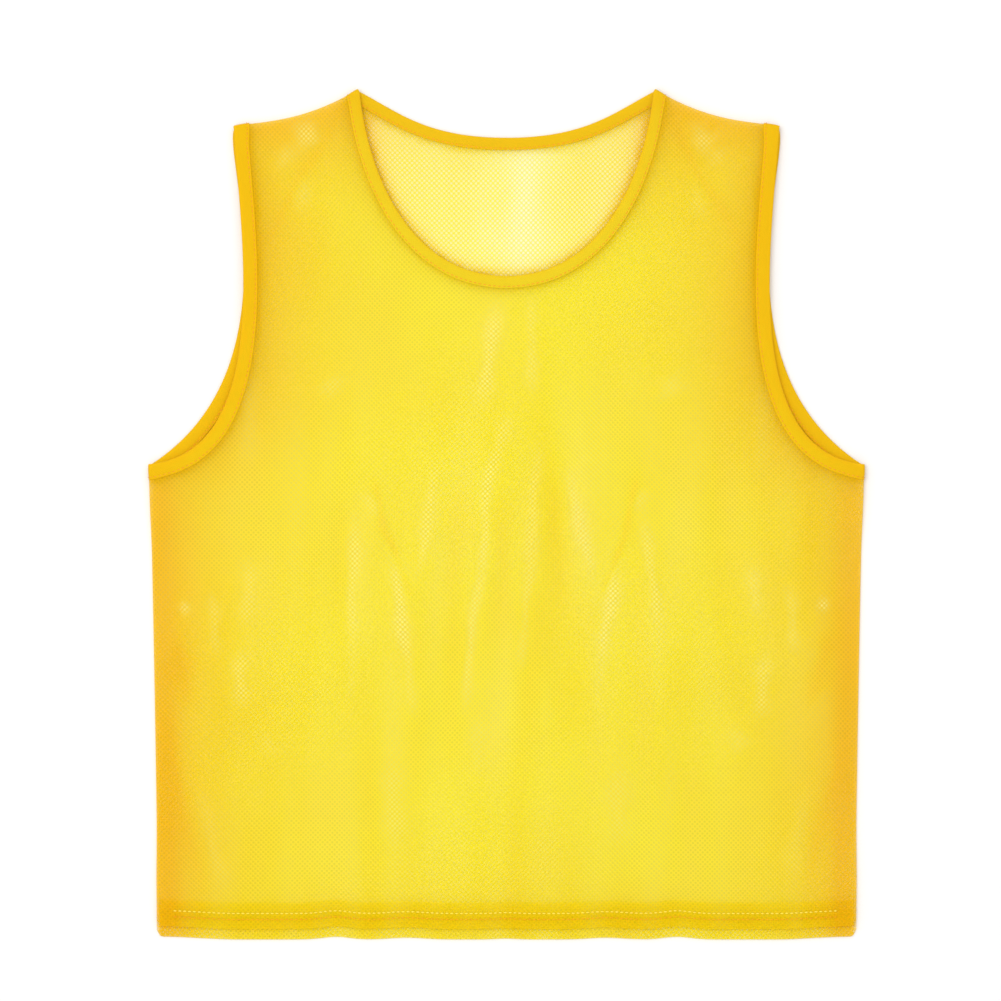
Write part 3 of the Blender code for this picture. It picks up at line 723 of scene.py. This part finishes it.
class Value:
    # a number socket that can be used in sums
    def __init__(self, nodes, socket):
        self.nodes, self.socket = nodes, socket

    def sum(self, operation, *others):
        return self.nodes.maths(operation, self, *others)

    def __add__(self, other):
        return self.sum("ADD", other)

    def __radd__(self, other):
        return self.sum("ADD", other)

    def __sub__(self, other):
        return self.sum("SUBTRACT", other)

    def __rsub__(self, other):
        return self.nodes.maths("SUBTRACT", other, self)

    def __mul__(self, other):
        return self.sum("MULTIPLY", other)

    def __rmul__(self, other):
        return self.sum("MULTIPLY", other)


class Nodes:
    def __init__(self, name):
        self.material = bpy.data.materials.new(name)
        self.material.use_nodes = True
        self.tree = self.material.node_tree
        self.tree.nodes.clear()

    def add(self, kind, settings=None, inputs=None):
        node = self.tree.nodes.new(kind)
        for key, value in (settings or {}).items():
            setattr(node, key, value)
        for key, value in (inputs or {}).items():
            value = value.socket if isinstance(value, Value) else value
            if isinstance(value, bpy.types.NodeSocket):
                self.tree.links.new(value, node.inputs[key])
            else:
                node.inputs[key].default_value = value
        return node

    def maths(self, operation, *values):
        node = self.add("ShaderNodeMath", {"operation": operation}, dict(enumerate(values)))
        return Value(self, node.outputs[0])

    def attribute(self, name):
        return Value(self, self.add("ShaderNodeAttribute", {"attribute_name": name}).outputs["Fac"])

    def step(self, value, low, high):
        node = self.add(
            "ShaderNodeMapRange", {"interpolation_type": "SMOOTHSTEP"},
            {"Value": value, "From Min": low, "From Max": high},
        )
        return Value(self, node.outputs["Result"])

    def blend(self, factor, first, second):
        node = self.add("ShaderNodeMix", {"data_type": "RGBA"}, {"Factor": factor, 6: first, 7: second})
        return node.outputs[2]

    def noise(self, vector, scale, detail=2.0):
        node = self.add("ShaderNodeTexNoise", None, {"Vector": vector, "Scale": scale, "Detail": detail})
        return Value(self, node.outputs["Fac"])


def srgb(red, green, blue):
    def linear(value):
        value /= 255
        return value / 12.92 if value <= 0.04045 else ((value + 0.055) / 1.055) ** 2.4
    return (linear(red), linear(green), linear(blue), 1.0)


meshLook = {
    "pitch": 0.0037,
    "yarn": srgb(251, 241, 22),
    # deeper orange: painted shade at the outline, beside the bindings and in crease troughs, and the depth of layered
    # cloth
    "layersAndShadeYarn": srgb(249, 210, 14),
    # painted highlight colours for the raised creases and streaks: paler yarn and bright dots
    "sheenYarn": srgb(252, 246, 60),
    "sheenDot": srgb(255, 253, 176),
    "knot": srgb(246, 200, 8),
    "threshold": -0.12,
    "soft": 0.50,
    "clear": 0.53,
    "fuzz": 0.40,
    "open": {"stretchSheenShade": 0.08, "layersAndShade": -0.06, "tightAndShaded": -0.14},
    "shift": {"stretchSheenShade": -0.05, "layersAndShade": 0.10, "tightAndShaded": 0.30},
    "dotClosing": 0.50,
    "knots": 0.30,
    "sheenKnots": 0.50,
    "warm": 0.40,
    "troughShadeWeight": 0.7,
    "translucent": 0.46,
    "roughness": 0.8,
    "sheen": 0.10,
    "bump": 0.00012,
}


def finishCloth(nodes, colour, look, height, hole=None):
    bump = nodes.add("ShaderNodeBump", None, {"Height": height, "Distance": look["bump"], "Strength": 0.8})
    front = nodes.add(
        "ShaderNodeBsdfPrincipled", None,
        {"Base Color": colour, "Roughness": look["roughness"], "Sheen Weight": look["sheen"],
         "Sheen Roughness": 0.4, "Specular IOR Level": 0.08, "Normal": bump.outputs[0]},
    )
    through = nodes.add("ShaderNodeBsdfTranslucent", None, {"Color": colour, "Normal": bump.outputs[0]})
    body = nodes.add("ShaderNodeMixShader", None, {0: look["translucent"], 1: front.outputs[0], 2: through.outputs[0]})
    shown = body.outputs[0]
    if hole is not None:
        clear = nodes.add("ShaderNodeBsdfTransparent")
        shown = nodes.add("ShaderNodeMixShader", None, {0: hole, 1: shown, 2: clear.outputs[0]}).outputs[0]
    nodes.add("ShaderNodeOutputMaterial", None, {"Surface": shown})
    return nodes.material


def meshMaterial(name, look, turn, shift):
    # diamond net: holes at the corners and middles of a square repeat, from two crossed waves
    nodes = Nodes(name)
    weave = nodes.add("ShaderNodeUVMap", {"uv_map": "cloth"}).outputs[0]
    mapped = nodes.add(
        "ShaderNodeMapping", None, {"Vector": weave, "Rotation": (0, 0, math.radians(turn)), "Location": (*shift, 0)}
    ).outputs[0]
    parts = nodes.add("ShaderNodeSeparateXYZ", None, {"Vector": mapped})
    across = Value(nodes, parts.outputs["X"]) * (2 * math.pi / look["pitch"])
    upward = Value(nodes, parts.outputs["Y"]) * (2 * math.pi / look["pitch"])
    net = across.sum("COSINE") * upward.sum("COSINE")
    fields = {name: nodes.attribute(name) for name in ("layersAndShade", "stretchSheenShade", "tightAndShaded")}
    low, clearer = look["threshold"], look["fuzz"]
    for name, value in fields.items():
        low = value * look["shift"][name] + low
        clearer = value * look["open"][name] + clearer
    # painted highlight where the value is positive, painted shade where it is negative
    highlight = nodes.maths("MAXIMUM", nodes.maths("MINIMUM", fields["stretchSheenShade"], 1.0), 0.0)
    troughShade = nodes.maths("MAXIMUM", fields["stretchSheenShade"] * -1.0, 0.0)
    sheenDots = nodes.step(net, -0.15, 0.60) * highlight
    hole = nodes.step(net - low, 0.0, look["soft"]) * (look["clear"] - look["fuzz"]) + clearer
    hole = nodes.maths("MAXIMUM", hole * (1.0 - sheenDots * look["dotClosing"]), 0.03)
    knot = nodes.step(0.0 - net, 0.05, 0.9) * (highlight * look["sheenKnots"] + nodes.attribute("patch") * 0.3 + look["knots"])
    # painted shade: the outline, the cloth beside the bindings and the crease troughs draw the yarn towards a deeper
    # orange
    orange = fields["layersAndShade"] + fields["tightAndShaded"] * look["warm"] + troughShade * look["troughShadeWeight"]
    colour = nodes.blend(nodes.maths("MINIMUM", orange, 1.0), look["yarn"], look["layersAndShadeYarn"])
    colour = nodes.blend(highlight * 0.6, colour, look["sheenYarn"])
    colour = nodes.blend(nodes.maths("MAXIMUM", knot, 0.0), colour, look["knot"])
    colour = nodes.blend(sheenDots, colour, look["sheenDot"])
    return finishCloth(nodes, colour, look, (0.0 - net) * 0.5 + 0.5, hole)


stripLook = {
    "pitch": 0.0019,
    "yarn": srgb(248, 228, 44),
    "layersAndShadeYarn": srgb(248, 208, 26),
    "knot": srgb(246, 198, 18),
    "translucent": 0.35,
    "roughness": 0.8,
    "sheen": 0.10,
    "bump": 0.00008,
}


def stripMaterial(name, look):
    nodes = Nodes(name)
    weave = nodes.add("ShaderNodeUVMap", {"uv_map": "cloth"}).outputs[0]
    parts = nodes.add("ShaderNodeSeparateXYZ", None, {"Vector": weave})
    across = Value(nodes, parts.outputs["X"]) * (2 * math.pi / look["pitch"])
    upward = Value(nodes, parts.outputs["Y"]) * (2 * math.pi / look["pitch"])
    knit = across.sum("COSINE") * upward.sum("COSINE")
    patchy = nodes.noise(weave, 60.0)
    # painted shade along the folded edge, where the strip turns away from the light; the noise adds random patches
    fold = nodes.maths("EXPONENT", nodes.maths("ABSOLUTE", Value(nodes, parts.outputs["Y"])) * (-1.0 / 0.0016))
    patchesAndShade = nodes.attribute("layersAndShade") + (patchy - 0.5) * 0.5 + fold * 0.5
    colour = nodes.blend(nodes.maths("MINIMUM", nodes.maths("MAXIMUM", patchesAndShade, 0.0), 1.0), look["yarn"], look["layersAndShadeYarn"])
    colour = nodes.blend(nodes.step(knit, 0.0, 1.0) * 0.5, colour, look["knot"])
    return finishCloth(nodes, colour, look, knit * 0.5 + 0.5)


threadLook = {"colour": srgb(246, 180, 22), "twist": srgb(238, 146, 14), "roughness": 0.6}
# painted highlight: the upper hem stitch row is drawn in a paler thread colour than the lower
hemThreadHighlightLook = {"colour": srgb(255, 240, 110), "twist": srgb(252, 222, 56), "roughness": 0.6}


def threadMaterial(name, look):
    nodes = Nodes(name)
    place = nodes.add("ShaderNodeTexCoord").outputs["Object"]
    twist = nodes.noise(place, 900.0)
    colour = nodes.blend(twist, look["colour"], look["twist"])
    shader = nodes.add("ShaderNodeBsdfPrincipled", None, {"Base Color": colour, "Roughness": look["roughness"]})
    nodes.add("ShaderNodeOutputMaterial", None, {"Surface": shader.outputs[0]})
    return nodes.material


# Pieces
frontCloth = buildPanel("front", panels["front"])
backCloth = buildPanel("back", panels["back"])
frontCloth.data.materials.append(meshMaterial("front mesh", meshLook, 0.0, (0.0, 0.0)))
backLook = {**meshLook, "clear": 0.64, "fuzz": 0.30, "open": {"stretchSheenShade": 0.30, "layersAndShade": -0.06, "tightAndShaded": -0.14}, "dotClosing": 0.0}
backCloth.data.materials.append(meshMaterial("back mesh", backLook, 0.7, (0.0008, 0.0005)))

neckStrip = sweepStrip("neck_strip", neckRing(), binding["neckWidth"], ("shoulder", "backNeck", "backArmhole"))
armRing = armholeRing()
rightStrip = sweepStrip("armhole_strip_right", armRing, binding["armholeWidth"], ("shoulder", "backArmhole", "side"))
leftStrip = sweepStrip("armhole_strip_left", mirrorFrames(armRing), binding["armholeWidth"], ("shoulder", "backArmhole", "side"))
neckMaterial = stripMaterial("neck binding", stripLook)
armMaterial = stripMaterial("armhole binding", {**stripLook, "yarn": srgb(250, 232, 28), "layersAndShadeYarn": srgb(250, 206, 18)})
neckStrip.data.materials.append(neckMaterial)
for strip in (rightStrip, leftStrip):
    strip.data.materials.append(armMaterial)

thread = threadMaterial("thread", threadLook)
neckThread = stitchRing("neck_stitches", neckRing(), binding["neckWidth"])
rightThread = stitchRing("armhole_stitches_right", armRing, binding["armholeWidth"])
leftThread = stitchRing("armhole_stitches_left", mirrorFrames(armRing), binding["armholeWidth"])
hemThread = hemStitches()
for sewing in (neckThread, rightThread, leftThread):
    sewing.data.materials.append(thread)
hemThread.data.materials.append(thread)
hemThread.data.materials.append(threadMaterial("hem thread highlight", hemThreadHighlightLook))

# What rides on what, and which solids the pieces stand for
stands = {
    frontCloth: ("front_panel", "mesh"),
    backCloth: ("back_panel", "mesh"),
    neckStrip: ("neck_binding", "binding"),
    rightStrip: ("armhole_binding_right", "binding"),
    leftStrip: ("armhole_binding_left", "binding"),
}
for piece, (node, slot) in stands.items():
    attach(piece, "root")
    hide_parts(node)
for sewing in (neckThread, rightThread, leftThread, hemThread):
    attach(sewing, "root")

# Stage
stage = {"floor": srgb(236, 236, 236), "world": 0.87, "key": 40.0, "keyPlace": (-0.6, 0.6, 2.8), "keySize": 2.0}


def buildStage():
    mesh = bmesh.new()
    bmesh.ops.create_grid(mesh, x_segments=1, y_segments=1, size=12.0)
    bmesh.ops.translate(mesh, verts=mesh.verts, vec=(0.0, 0.0, -0.0002))
    data = bpy.data.meshes.new("floor")
    mesh.to_mesh(data)
    mesh.free()
    floor = bpy.data.objects.new("floor", data)
    bpy.context.scene.collection.objects.link(floor)
    nodes = Nodes("floor")
    shader = nodes.add("ShaderNodeBsdfPrincipled", None, {"Base Color": stage["floor"], "Roughness": 0.9})
    nodes.add("ShaderNodeOutputMaterial", None, {"Surface": shader.outputs[0]})
    data.materials.append(nodes.material)
    world = bpy.data.worlds.new("studio")
    world.use_nodes = True
    world.node_tree.nodes["Background"].inputs["Color"].default_value = (1.0, 1.0, 1.0, 1.0)
    world.node_tree.nodes["Background"].inputs["Strength"].default_value = stage["world"]
    bpy.context.scene.world = world
    lamp = bpy.data.lights.new("key", "AREA")
    lamp.energy, lamp.size = stage["key"], stage["keySize"]
    key = bpy.data.objects.new("key", lamp)
    key.location = stage["keyPlace"]
    key.rotation_euler = (-Vector(stage["keyPlace"])).to_track_quat("-Z", "Y").to_euler()
    bpy.context.scene.collection.objects.link(key)


# Camera straight above, framed as the photograph: its middle column and row, and its millimetres a pixel
photo = {"side": 1001, "centreX": 506.5, "hemRow": 940.0, "metresPerPixel": 0.000763, "height": 4.0}


def buildCamera():
    lens = bpy.data.cameras.new("camera")
    lens.sensor_width = 36.0
    lens.lens = 36.0 * photo["height"] / (photo["side"] * photo["metresPerPixel"])
    lens.clip_end = 100.0
    camera = bpy.data.objects.new("camera", lens)
    x = (photo["side"] / 2 - photo["centreX"]) * photo["metresPerPixel"]
    y = (photo["hemRow"] - photo["side"] / 2) * photo["metresPerPixel"] - cut["length"] / 2
    camera.location = (x, y, photo["height"])
    bpy.context.scene.collection.objects.link(camera)
    bpy.context.scene.camera = camera


buildStage()
buildCamera()
bpy.context.scene.view_settings.view_transform = "Standard"
print("stage and camera set")
